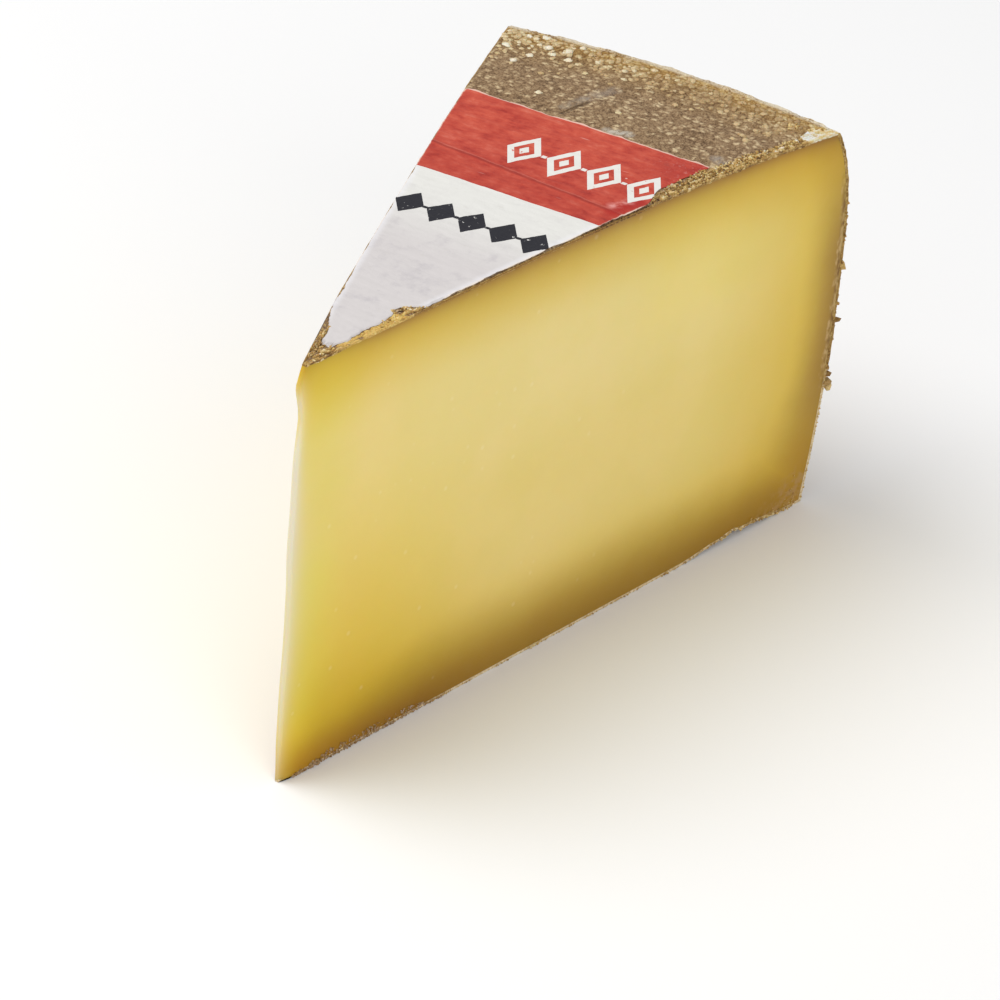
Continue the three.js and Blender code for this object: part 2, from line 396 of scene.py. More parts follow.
def wheel_distances(x, y, z):
    """How far a place is below the top rind and inside the side's rind, in mm."""
    out = ((x - (AXIS_X - POINT_X) / MM) ** 2 + y ** 2) ** 0.5
    top = WHEEL_HEIGHT / MM - (out / (WHEEL_RADIUS / MM)) ** 4 * (EDGE_DROP / MM) - z
    share = z / (EDGE_HEIGHT / MM)
    below = most(HEEL_BELLY - share, 0) / HEEL_BELLY
    above = most(share - HEEL_BELLY, 0) / (1 - HEEL_BELLY)
    bulge = (1 - below ** 1.8 - above ** 3.5) * (HEEL_BULGE / MM)
    return top, WHEEL_RADIUS / MM + bulge - out


def cut_cheese():
    """Pale yellow inside, going amber and then brown close to the rind, with tiny pale specks."""
    glow = {"subsurface_weight": 0.25, "subsurface_radius": (1, 0.55, 0.18), "subsurface_scale": 3 * MM}
    finish = Finish("cut cheese", specular=0.35, **glow)
    where, x, y, z = finish.place()
    top, side = wheel_distances(x, y, z)
    wander = grain(where, 14, 3) * 3 - 1.5
    finish.paint = srgb(236, 214, 140)
    finish.cover(rise(grain(where, 30, 4), 0.35, 0.65), (233, 212, 133))
    finish.stain(fall(x, 8, 60), (1, 0.97, 0.82))
    finish.stain(rise(x, 110, 190), (1, 1, 0.9))
    finish.stain(rise(z, 20, 45) * fall(z, 50, 85), (0.97, 0.94, 0.8))

    # Amber and then brown below the rind: at the top, the side and the foot; at the foot the brown is partly
    # painted shade close to the floor
    amber = (0.88, 0.75, 0.21)
    finish.stain(fall(top + wander, 0, 27), amber)
    middle = rise(x, 30, 80) * fall(x, 140, 180)
    at_top = fade((top + wander * 0.3) / (middle * 1.3 + 3)) * (1 - fall(x, 8, 30) * 0.5)
    finish.stain(at_top, (0.27, 0.1, 0.2))
    finish.stain(fall(side + wander, 0, 60) * 0.9, amber)
    low = fall(z, 15, 50)
    at_side = fall((side + wander) / (low * 0.45 + 1), 0, 18) * (1 - rise(z, 72, 112) * 0.75)
    at_side = at_side * (1 - low * 0.2)
    deep = fall(x, 20, 90) * 0.55 + 1
    shallow = (rise(x, 0, 60) * 0.45 + 0.55) * (1 - rise(x, 120, 180) * 0.15)
    finish.stain(fall((z + wander) / deep, 0, 45), amber)
    # The brown at the foot: the paste's own colour, with painted shade close to the floor
    foot_brown_and_shade = fall((z + wander) / shallow, 0, 28) * (rise(x, 5, 55) * 0.5 + 0.5)
    foot_brown_and_shade = foot_brown_and_shade * (1 - fall(z, 1, 10) * rise(x, 150, 185) * 0.12)
    brown = finish.mix(rise(foot_brown_and_shade - at_side, -0.3, 0.3), (0.46, 0.36, 0.36), (0.46, 0.36, 0.2))
    finish.stain(most(at_side, foot_brown_and_shade), brown)
    finish.stain(fall(side, 4, 16) * fall(z, 12, 40), (1.12, 1.12, 0.75))
    finish.stain(rise(x, 115, 135) * fall(x, 150, 175) * rise(z, 70, 88), (1, 1, 0.84))

    # Yellower towards the point, and darkest at its foot: the paste's own colour, with painted warm bounce
    # light and painted shade low by the point
    near = fall(x, 25, 80)
    finish.stain(fall(z, 0, 100) * near, (1, 0.97, 0.5))
    finish.stain(fall(z, 5, 40) * near * rise(x, 2, 16), (0.84, 0.8, 0.5))
    near = fall(x, 25, 90)
    # Yellower low by the point: partly painted warm light bouncing up from below
    finish.stain(fall(z, 4, 24) * near, (1, 1.02, 0.5))
    # Deep amber right at the foot: partly painted shade
    finish.stain(fall(z, 0, 12) * near * rise(x, 0, 8), (0.87, 0.7, 0.22))
    finish.stain(fall(x, 5, 22) * rise(z, 5, 22) * fall(z, 55, 80), (0.96, 1.08, 0.84))
    finish.stain(fall(x, 8, 26) * rise(z, 66, 84), (0.97, 1.01, 0.85))
    finish.stain(fall(x, 6, 34) * fall(top, 6, 34), (1, 1, 0.66))

    # The thin point lets the light through, so that it is pale
    inward = rise(z, 60, 84) * 0.6 + 0.75
    off = most(x + abs(y) * 1.2 - inward, 0)
    reach = rise(z, 0, 48) * fall(z, 60, 96) * 2.1 + 1.8
    strength = rise(z, -28, 42) * rise(top, 1, 18) * 0.9
    finish.cover(fade(off / reach) * strength, (226, 219, 196))

    # Specks, and the rough edges by the side's rind
    speck = fall(cells(where, 6), 0.04, 0.16) * (cell_draw(where, 6) > 0.5)
    finish.cover(speck * fall(x, 60, 170) * 0.16, (250, 240, 200))
    finish.stain(fall(side, 6, 26), (1, 1, 0.88))
    mottled = grain(squeezed(where, (1.0, 1.0, 0.5)), 1.1, 3)
    rough_rim = fall(side - mottled * 3, 0.4, 1.6) * rise(z, 30, 45) * fall(z, 88, 104)
    finish.cover(rough_rim * 0.85, ramp(mottled,
        (0.36, 114, 78, 30), (0.5, 160, 126, 62), (0.64, 192, 160, 104),
    ))
    spotted = grain(where, 1.9, 3, 0.6)
    rough_corner = fall(side * 0.6 + z - spotted * 14, 0, 9) * rise(spotted, 0.4, 0.6)
    finish.cover(rough_corner * 0.6, (178, 140, 86))
    height = grain(where, 1.6, 4) * 0.4 + grain(where, 12) + speck * 0.2
    return finish.finished(height, 0.1, 0.46 + grain(where, 3, 3) * 0.14)


def brown_rind():
    """Brown-grey and softly pebbled, tan and then ochre at the wheel's edge, with one old scar."""
    finish = Finish("brown rind", roughness=0.8, specular=0.3)
    where, x, y, z = finish.place()
    top, side = wheel_distances(x, y, z)
    bent = finish.node("VectorMath", {"operation": "MULTIPLY_ADD"}, {
        0: finish.node("TexNoise", values={"Vector": where, "Scale": 700, "Detail": 3}, output=1),
        1: (0.0016, 0.0016, 0.0016), 2: where,
    })
    grit = grain(where, 0.5, 3)
    clouds = grain(where, 9, 4, 0.6)
    own = cell_draw(bent, 1.6)
    pebbles = fall(cells(bent, 1.6), 0.1, 0.8) * (own ** 2 * 0.32 + 0.06)
    tone = grit * 0.44 + clouds * 0.16 + pebbles + grain(where, 0.95, 3, 0.6) * 0.24
    finish.paint = ramp(tone,
        (0.32, 80, 57, 35), (0.42, 132, 105, 75), (0.53, 164, 136, 102), (0.72, 212, 189, 150),
    )
    tan = ramp(tone,
        (0.32, 92, 62, 30), (0.42, 144, 111, 66), (0.53, 176, 145, 98), (0.74, 214, 192, 150),
    )
    finish.cover(fall(side + clouds * 14, 12, 32) * 0.7, tan)
    ochre = ramp(tone,
        (0.32, 108, 70, 26), (0.42, 164, 124, 62), (0.53, 198, 164, 100), (0.74, 232, 214, 164),
    )
    finish.cover(fall(side + clouds * 16, 10, 19) * 0.8, ochre)
    finish.stain(fall(side, 8, 19) * rise(y, -20, 30), (0.9, 0.86, 0.76))
    fuzz = fall(side, 0.5, 2.6) * fall(top, 0.6, 2.5) * rise(grit + clouds, 0.74, 1.06)
    fuzz = fuzz * (fall(y, -32, -12) * 0.2 + rise(y, 5, 35) * 0.1 + 0.7)
    finish.cover(fuzz, (230, 219, 196))
    strokes = rise(grain(squeezed(where, (0.35, 1.0, 1.0)), 1.2, 3), 0.35, 0.6)
    patches = (
        (PALE_SCAR, 2, 0.4, (176, 166, 150)), (GREY_SCAR, 2.6, 0.32, (160, 154, 148)),
        (GREY_PATCH, 2.4, 0.85, (204, 197, 184)), (CORNER_PATCH, 2.8, 0.5, (168, 164, 158)),
        (DARK_SCAR, 0.7, 0.65, (84, 62, 40)),
    )
    for line, width, strength, patch_colour in patches:
        patch = streak(x, y, line, width) ** 0.5 * (strokes * 0.8 + 0.2) * strength
        finish.cover(patch, patch_colour)

    # Where the knife's two cuts and the point end it, its edge shows: paler at the foot, partly a painted
    # highlight where the edge catches the light
    blotchy = grit * 0.55 + grain(where, 2.6, 3) * 0.45
    cut_edge = ramp(blotchy,
        (0.36, 122, 88, 40), (0.5, 170, 134, 68), (0.64, 206, 178, 116),
    )
    foot_edge_and_highlight = ramp(grit,
        (0.3, 196, 168, 118), (0.5, 228, 204, 160), (0.7, 244, 230, 202),
    )
    at_cut_edge = most(fall(inside_cut(x, y), 0, 0.35), fall(x, 2.2, 3))
    finish.cover(at_cut_edge, finish.mix(fall(z, 30, 41), cut_edge, foot_edge_and_highlight))
    return finish.finished(tone * 1.2 - streak(x, y, DARK_SCAR, 0.8), 0.9, 0.72 + grit * 0.2)


def broken_rind(name, *stops):
    """The rind's crumbs and broken edges, by their tone: dark in their hollows and pale on their peaks,
    partly as painted shade and painted highlight.
    """
    finish = Finish(name, roughness=0.7, specular=0.35, subsurface_weight=0.1, subsurface_scale=1 * MM)
    tone = finish.node("Attribute", {"attribute_name": "tone"}, output=2)
    grit = grain(finish.node("TexCoord", output=3), 0.4, 3)
    finish.paint = ramp(tone + grit * 0.5 - 0.25, *stops)
    finish.stain(1, finish.node("Attribute", {"attribute_name": "tint"}))
    return finish.finished(grit, 0.25)


def golden_crumbs():
    return broken_rind("golden crumbs",
        (0, 64, 42, 18), (0.25, 122, 88, 42), (0.5, 184, 148, 82), (0.75, 222, 196, 136), (1, 242, 238, 226),
    )


def pale_flakes():
    return broken_rind("pale flakes",
        (0, 146, 118, 80), (0.4, 192, 162, 116), (0.7, 222, 202, 160), (1, 244, 237, 220),
    )


def label_print():
    """White paper with one red band, a row of white lozenges on it and a row of black ones beside it."""
    finish = Finish("printed paper", roughness=0.6, specular=0.3)
    where, x, y, _ = finish.place()
    blots = grain(where, 6, 5, 0.65)
    fine = grain(where, 0.9, 3)
    creases = grain(squeezed(where, (1.0, 0.4, 1.0)), 1.8, 4, 0.6)
    inside = inside_cut(x, y)
    torn = fall(inside + fine * 0.5, 0.4, 0.85)

    # The white paper, stained towards the point and torn at its edges
    clean = rise(x, 62, 96)
    finish.paint = srgb(206, 201, 200)
    finish.cover(clean, (222, 221, 216))
    finish.cover(rise(blots, 0.5, 0.75) * (0.8 - clean * 0.6), (190, 185, 187))
    finish.cover(rise(creases, 0.6, 0.8) * 0.25, (196, 190, 180))
    finish.cover(fall(inside, 0.4, 2.4) * 0.5, (232, 231, 235))
    finish.cover(torn * rise(x, 40, 50) * 0.65, (236, 221, 204))
    white = finish.paint

    # The red band, rubbed, flecked, scratched and creased, with a darker red streak, and painted shade and
    # highlights along the crease and beside the streak
    finish.paint = ramp(blots * 0.55 + creases * 0.45,
        (0.34, 156, 40, 31), (0.45, 181, 61, 46), (0.56, 195, 78, 59), (0.7, 208, 108, 90),
    )
    finish.stain(fall(x, 112, 124), (0.93, 0.84, 0.83))
    finish.stain(rise(x, 120, 135), (1.05, 1.1, 1.04))
    rubbed = fall(y, -32, -12) * rise(x + blots * 14, 136, 150)
    finish.stain(rubbed * 0.8, (0.82, 0.55, 0.62))
    finish.cover(rubbed * rise(fine, 0.58, 0.7) * 0.3, (222, 160, 152))
    finish.cover(rubbed * rise(creases, 0.55, 0.7) * 0.5, (118, 24, 34))
    fleck = fall(cells(where, 4), 0.05, 0.1) * (cell_draw(where, 4) > 0.8)
    scratched = squeezed(where, (1.0, 0.14, 1.0))
    scratch = fall(cells(scratched, 2.4), 0.03, 0.11) * (cell_draw(scratched, 2.4) > 0.72)
    finish.cover(most(fleck * 0.7, scratch * 0.45), (230, 190, 178))
    crease = x - y * CREASE_SLANT - CREASE_AT + blots * 2 - 1
    # Painted shade in the crease's fold, and a painted highlight beside it
    finish.cover(fall(abs(crease), 0.1, 0.75) * 0.6, (138, 34, 28))
    finish.cover(fall(abs(crease - 0.9), 0, 0.5) * 0.2, (224, 150, 132))
    finish.cover(streak(x, y, DARK_RED_STREAK, 3) ** 0.6 * 0.8, (166, 26, 20))
    # Painted highlight beside the darker red streak
    finish.cover(streak(x, y, PALE_HIGHLIGHT_STREAK, 2.4) * rise(creases, 0.36, 0.66) * 0.8, (226, 160, 154))
    end = LABEL_END / MM
    finish.cover(rise(x, end - 0.5, end - 0.25) * 0.8, (226, 198, 182))
    finish.cover(torn * 0.85, (238, 218, 200))
    finish.paint = finish.mix(x > RED_FROM, white, finish.paint)

    # The two printed rows, worn through in places
    kept = fall(grain(where, 1.8, 4, 0.7), 0.64, 0.68)
    row = lozenges(x - WHITE_ROW_AT[0], y - WHITE_ROW_AT[1], *WHITE_ROW_SIZES, hollow=True)
    finish.cover(row * (y < WHITE_ROW_END) * kept, (226, 224, 218))
    row = lozenges(x - BLACK_ROW_AT[0], y - BLACK_ROW_AT[1], *BLACK_ROW_SIZES)
    finish.cover(row * kept, (30, 30, 38))
    return finish.finished(creases + fine * 0.3, 0.15, 0.5 + fine * 0.2)


def lozenges(across, along, height, width, pitch, hollow=False):
    """A row of lozenges, solid or with a smaller one inside, and a small square between each two."""
    step = (along + pitch / 2) % pitch - pitch / 2
    spread = abs(across) / (height / 2) + abs(step) / (width / 2)
    lozenge = spread < 1
    if hollow:
        lozenge = lozenge - (spread < 0.6) * (spread > 0.28)
    between = (along % pitch) - pitch / 2
    square = most(abs(across), abs(between)) < width * 0.07
    return most(lozenge, square)


# Numbers, noise, and places on the wheel

def smooth(value, low, high):
    """0 below low, 1 above high, and a smooth rise between them."""
    share = min(max((value - low) / (high - low), 0), 1)
    return share * share * (3 - 2 * share)


def hump(value, start, full, fading, end):
    """1 from full to fading, 0 before start and past end, and smooth between them."""
    return smooth(value, start, full) * (1 - smooth(value, fading, end))


def bell(value, middle, width):
    """1 in the middle, and less and less away from it."""
    return math.exp(-((value - middle) / width) ** 2)


def wave(x, y, z):
    """Smooth noise from -1 to 1."""
    return noise.noise(Vector((x, y, z)))


def lump(x, y, z, size):
    return noise.noise(Vector((x, y, z)) / (size * MM))


def pebble(x, y, z, size):
    distances, _ = noise.voronoi(Vector((x, y, z)) / (size * MM))
    return max(0, 1 - distances[0] * 1.6)


def from_point(x):
    """How far a place is from the wedge's point, in mm."""
    return (x - POINT_X) / MM


def half_width(x):
    return POINT_WIDTH / 2 + (x - POINT_X) * math.tan(HALF_ANGLE)


def side_of(y):
    """The cut that a place is nearer to: -1 is the front one, 1 the back one."""
    return -1 if y < 0 else 1


def at_cut(along, side, inside=0):
    """A place on the plan, so many mm along a cut and inside it."""
    x = POINT_X + along * MM * math.cos(HALF_ANGLE)
    return x, side * (half_width(x) - inside * MM)


def from_axis(radius, angle):
    """A place on the plan, by its distance and its direction from the wheel's axis."""
    return AXIS_X + radius * math.cos(angle), radius * math.sin(angle)


def top_at_radius(radius):
    return WHEEL_HEIGHT - EDGE_DROP * (radius / WHEEL_RADIUS) ** 4


def wheel_top(x, y):
    return top_at_radius(math.hypot(x - AXIS_X, y))


def side_at_share(share):
    """The wheel's radius at a share of its edge's height."""
    below = max(HEEL_BELLY - share, 0) / HEEL_BELLY
    above = max(share - HEEL_BELLY, 0) / (1 - HEEL_BELLY)
    return WHEEL_RADIUS + HEEL_BULGE * (1 - below ** 1.8 - above ** 3.5)


def spots(low, high, step):
    """Values from low to high, about a step apart."""
    count = max(1, round(abs(high - low) / step))
    return [low + (high - low) * i / count for i in range(count + 1)]


def wheel_line(inner, inset, side_inset, step, bottom_step):
    """Half of the wheel's section, as radius and height: out along the bottom, up the side, in at the top."""
    outer = WHEEL_RADIUS - side_inset
    line = [(radius, inset) for radius in spots(inner, outer, bottom_step)]
    for share in spots(0, 1, step / EDGE_HEIGHT)[1:-1]:
        height = inset + share * (top_at_radius(outer) - 2 * inset)
        line.append((side_at_share(share) - side_inset, height))
    line += [(radius, top_at_radius(radius) - inset) for radius in spots(outer, inner, step)]
    return line


def start_piece(name, primitive, **shape):
    """A primitive to begin a piece with. Nothing else is selected."""
    bpy.ops.object.select_all(action="DESELECT")
    primitive(**shape)
    piece = bpy.context.object
    piece.name = name
    return piece


def start_edit(piece):
    bpy.context.view_layer.objects.active = piece
    bpy.ops.object.mode_set(mode="EDIT")
    bpy.ops.mesh.select_all(action="SELECT")


def stop_edit(outwards=False):
    """Back to object mode, with all faces turned outwards where that is asked."""
    if outwards:
        bpy.ops.mesh.select_all(action="SELECT")
        bpy.ops.mesh.normals_make_consistent(inside=False)
    bpy.ops.object.mode_set(mode="OBJECT")


def merge_points():
    bpy.ops.mesh.select_all(action="SELECT")
    bpy.ops.mesh.remove_doubles(threshold=SAME_PLACE)


def spin_wheel(name, section, steps):
    """A piece of the wheel, from its closed section, turned round the wheel's axis."""
    reach = HALF_REACH * SPARE_TURN
    circle = bpy.ops.mesh.primitive_circle_add
    piece = start_piece(name, circle, vertices=len(section), radius=1, fill_type="NOTHING")
    for vertex, (radius, height) in zip(piece.data.vertices, section):
        vertex.co = (*from_axis(radius, -reach), height)
    start_edit(piece)
    bpy.ops.mesh.spin(steps=steps, angle=2 * reach, center=WHEEL_AXIS, axis=(0, 0, -1))
    merge_points()
    stop_edit(outwards=True)
    return piece


def slice_at(place, normal, keep_both=False):
    """One straight cut through the whole piece in edit mode."""
    bpy.ops.mesh.select_all(action="SELECT")
    bpy.ops.mesh.bisect(
        plane_co=place, plane_no=normal, use_fill=not keep_both, clear_outer=not keep_both, threshold=1e-7,
    )


def cut_wedge(piece, margin):
    """The two cuts of the knife, and the blunt point between them."""
    start_edit(piece)
    edge = POINT_WIDTH / 2 + margin
    slice_at((POINT_X, -edge, 0), (-math.sin(HALF_ANGLE), -math.cos(HALF_ANGLE), 0))
    slice_at((POINT_X, edge, 0), (-math.sin(HALF_ANGLE), math.cos(HALF_ANGLE), 0))
    slice_at((POINT_X, 0, 0), (-1, 0, 0))
    merge_points()
    stop_edit()


def move_points(piece, place):
    """Puts every vertex of a piece where a function says."""
    for vertex in piece.data.vertices:
        vertex.co = place(vertex.co)
    piece.data.update()


def point_wave(height):
    """How far the point's upright edge stands out at a height."""
    level = min(max(height / MM, 0), POINT_OUTLINE[-1][0] - 1e-6)
    for (low, out), (high, next_out) in zip(POINT_OUTLINE, POINT_OUTLINE[1:]):
        if level < high:
            return (out + (next_out - out) * smooth(level, low, high)) * MM
    return 0


def worn(co):
    """A place as wear has left it: at the point's edge, and where the front cut's foot has crumbled."""
    along, height = from_point(co.x), co.z / MM
    inside = (half_width(co.x) + co.y) / MM
    if along > 145 and height < 7 and inside < 7:
        gone = 1.4 * hump(along, 146, 162, 175, 188) + 0.9 * bell(along, 167, 2)
        lift = gone * (1 - smooth(inside, 0, 7)) * (1 - smooth(height, 0, 7))
        return co + Vector((0, 0, lift)) * MM
    if along > 34:
        return co
    near = max(0, 1 - along / 6) ** 2
    taken = 0.95 * (1 - smooth(along, 12, 34)) * smooth(height, 112, 120.5) if co.y > 0 else 0
    taken += 0.55 * near * (1 - smooth(height, 0, 12))
    narrower = 1 - min(taken * MM / half_width(co.x), 0.9)
    return Vector((co.x - near * point_wave(co.z), co.y * narrower, co.z))


# The label's outline, and the rind's relief, which is calmer under the label

def label_margin(x, side):
    """How far the label's long edge stays inside the front cut (-1) or the back one (1)."""
    along = from_point(x)
    margin = LABEL_MARGIN[side] + 1.9 * (1 - smooth(along, *TORN_TIP[side]))
    torn = 0.45 * math.sin(along / 3.1 + side) + 0.35 * math.sin(along / 1.7 - side)
    torn += 0.5 * wave(along / 0.9, side * 7, 3)
    torn += 0.5 * wave(along / 2.2, side, 9)
    margin += torn * LABEL_TEARS[side] * (1.8 - 0.8 * smooth(along, 38, 44))
    if side < 0:
        margin += 4.2 * smooth(along, 119, 133) + NOTCH[2] * bell(along, *NOTCH[:2])
    return max(0.04, margin) * MM


def label_calm(x, y):
    """1 well under the label, 0 outside it."""
    inside = half_width(x) - label_margin(x, side_of(y)) - abs(y)
    reach = min(inside + 0.9 * MM, x - POINT_X - LABEL_TIP, POINT_X + LABEL_END - x)
    return min(max(reach / (0.6 * MM), 0), 1)


def broken_width(x, side):
    """How wide the broken strip of rind is along a cut: as far as the label, or to the sound rind past it."""
    along = from_point(x)
    bare = (4.2 if side < 0 else 0.9) + 0.7 * wave(along / 6, side, 1)
    bare -= (1.5 if side < 0 else 0.2) * smooth(along, 160, 190)
    if side < 0:
        bare += 3.6 * bell(along, CHIP_AT - 3, 7)
    tip, end = LABEL_TIP / MM, LABEL_END / MM
    past = smooth(along, end - 4, end + 1)
    tucked = label_margin(x, side) / MM + 0.35 + 8 * (1 - smooth(along, tip, tip + 1.5))
    width = tucked * (1 - past) + bare * past
    return min(width * MM, half_width(x) + 0.2 * MM)


def chipped(x, y):
    """1 in the middle of the chipped corner, 0 outside it."""
    along = from_point(x) / math.cos(HALF_ANGLE)
    inside = (half_width(x) + y) / MM
    off = math.hypot((along - CHIP_AT) / CHIP_REACH[0], inside / CHIP_REACH[1])
    return 1 - smooth(off, 0.55, 1)


def top_relief(x, y):
    """How far the rind stands out of the wheel's top, in metres: lumps, sunk where it is broken."""
    rough = 0.45 * lump(x, y, 0, 9) + 0.25 * lump(x, y, 0.04, 4) + 0.26 * pebble(x, y, 0, 2)
    rough += 0.12 * lump(x, y, 0.1, 1.1)
    inside = half_width(x) - abs(y)
    broken = 1 - smooth(inside / broken_width(x, side_of(y)), 0.7, 1.05)
    calm = label_calm(x, y)
    level = rough * (1 - 0.72 * calm) * (1 - 0.5 * broken) - 0.1 * calm - 0.5 * broken
    return max(level - 0.7 * chipped(x, y), -0.64) * MM


def side_relief(around, height):
    """How far the rind stands out of the wheel's side, in metres."""
    rough = 0.45 * lump(around, height, 0.007, 11) + 0.25 * lump(around, height, 0.08, 4.5)
    rough += 0.25 * pebble(around, height, 0, 2.4) + 0.12 * lump(around, height, 0.1, 1.2)
    return max(rough, 0.2 * rough - 0.1) * MM


def top_surface(x, y):
    return wheel_top(x, y) + top_relief(x, y)


# The pieces

def complete(piece, material, sharp=SHARP):
    bpy.ops.object.shade_smooth_by_angle(angle=sharp)
    piece.data.materials.append(material)
    return piece


def model_cheese():
    """The cut cheese: a piece of the wheel under its rind, cut, sliced finely and gently uneven."""
    inset = RIND_THICKNESS - 0.35 * MM
    inner = SPINE_X - AXIS_X
    line = wheel_line(inner, inset, SIDE_RIND_THICKNESS - 0.2 * MM, 2.2 * MM, COARSE_STEP)
    back = [(inner, height) for height in spots(line[-1][1], line[0][1], COARSE_STEP)[1:-1]]
    piece = spin_wheel("cut_cheese", line + back, COARSE_TURNS)
    cut_wedge(piece, 0)
    start_edit(piece)
    for x in spots(POINT_X + 4 * MM, RIM_X, SLICE):
        slice_at((x, 0, 0), (1, 0, 0), keep_both=True)
    levels = spots(4 * MM, EDGE_HEIGHT - 2 * MM, SLICE) + spots(EDGE_HEIGHT, WHEEL_HEIGHT - 2 * MM, 1.6 * MM)
    for z in levels:
        slice_at((0, 0, z), (0, 0, 1), keep_both=True)
    bpy.ops.mesh.select_all(action="DESELECT")
    mesh = bmesh.from_edit_mesh(piece.data)
    for edge in mesh.edges:  # the point's two upright edges
        at_point = all(vertex.co.x < POINT_X + NEAR for vertex in edge.verts)
        at_side = all(abs(abs(vertex.co.y) - POINT_WIDTH / 2) < NEAR for vertex in edge.verts)
        upright = abs(edge.verts[0].co.z - edge.verts[1].co.z) > 2 * NEAR
        edge.select = at_point and at_side and upright
    bpy.ops.mesh.bevel(offset=POINT_ROUNDING, segments=4, affect="EDGES")
    stop_edit()

    def uneven(co):
        """The cuts a little hollow between their edges, and the top a little lower under the rind."""
        radius = math.hypot(co.x - AXIS_X, co.y)
        edge = min(top_at_radius(radius) - co.z, side_at_share(co.z / EDGE_HEIGHT) - radius, co.z)
        face = abs(abs(co.y) - half_width(co.x)) < 4 * NEAR
        dip = 0.12 * MM * (1 + lump(co.x, co.y, co.z, 26)) * smooth(edge / MM, 1, 8) if face else 0
        under_rind = 1 - smooth((top_at_radius(radius) - co.z) / MM, 0.45, 1.6)
        return worn(co - Vector((0, math.copysign(dip, co.y), 0.3 * MM * under_rind)))

    move_points(piece, uneven)
    return complete(piece, cut_cheese())


def model_rind():
    """The rind: a thin band round the top, the side and the bottom, lumpy outside, cut like the cheese."""
    inner = SPINE_X - AXIS_X
    outside = wheel_line(inner, 0, 0, FINE_STEP, COARSE_STEP)
    inside = wheel_line(inner, RIND_THICKNESS, SIDE_RIND_THICKNESS, COARSE_STEP, COARSE_STEP)
    piece = spin_wheel("cheese_rind", outside + inside[::-1], FINE_TURNS)

    def lumpy(co):
        radius = math.hypot(co.x - AXIS_X, co.y)
        share = co.z / EDGE_HEIGHT
        on_top = abs(co.z - top_at_radius(radius)) < NEAR
        on_side = 0 < share <= 1.001 and abs(radius - side_at_share(min(share, 1))) < NEAR
        moved = co.copy()
        if on_side:
            angle = math.atan2(co.y, co.x - AXIS_X)
            off_floor = min(1, co.z / (2 * MM))
            out = radius + off_floor * side_relief(angle * WHEEL_RADIUS, co.z)
            moved.x, moved.y = from_axis(out, angle)
        if on_top:
            moved.z += top_relief(co.x, co.y)
        return moved

    move_points(piece, lumpy)
    cut_wedge(piece, RIND_PROUD)
    move_points(piece, worn)
    return complete(piece, brown_rind())


def broken_height(along, across, width):
    """How high the broken rind stands in mm: torn ridges along the cut, with gaps between them."""
    tall = min(1, width / (3.4 * MM))
    ridges = 0.75 * wave(along / 3.6, across / 0.75, 4)
    ridges += 0.5 * wave(along / 1.4, across / 0.42, 9)
    hole = smooth(-wave(along / 2.4, across / 1.1, 13), 0.22, 0.45)
    return tall * (0.2 + ridges - 0.45 * hole)


def flaky(along, across, long, wide):
    """The level of a flake of rind from about -0.5 to 0.5, much lower in the cracks between flakes."""
    distances, corners = noise.voronoi(Vector((along / long, across / wide, long)))
    crack = max(0, 1 - (distances[1] - distances[0]) / 0.16)
    return noise.noise(corners[0] * 7.3) * (1 - crack) - 0.6 * crack


def give_tones(mesh, domain, tones, tints):
    """What the broken rind's paint reads: a tone and a tint for each point or face."""
    mesh.attributes.new("tone", "FLOAT", domain).data.foreach_set("value", tones)
    mesh.attributes.new("tint", "FLOAT_COLOR", domain).data.foreach_set("color", tints)


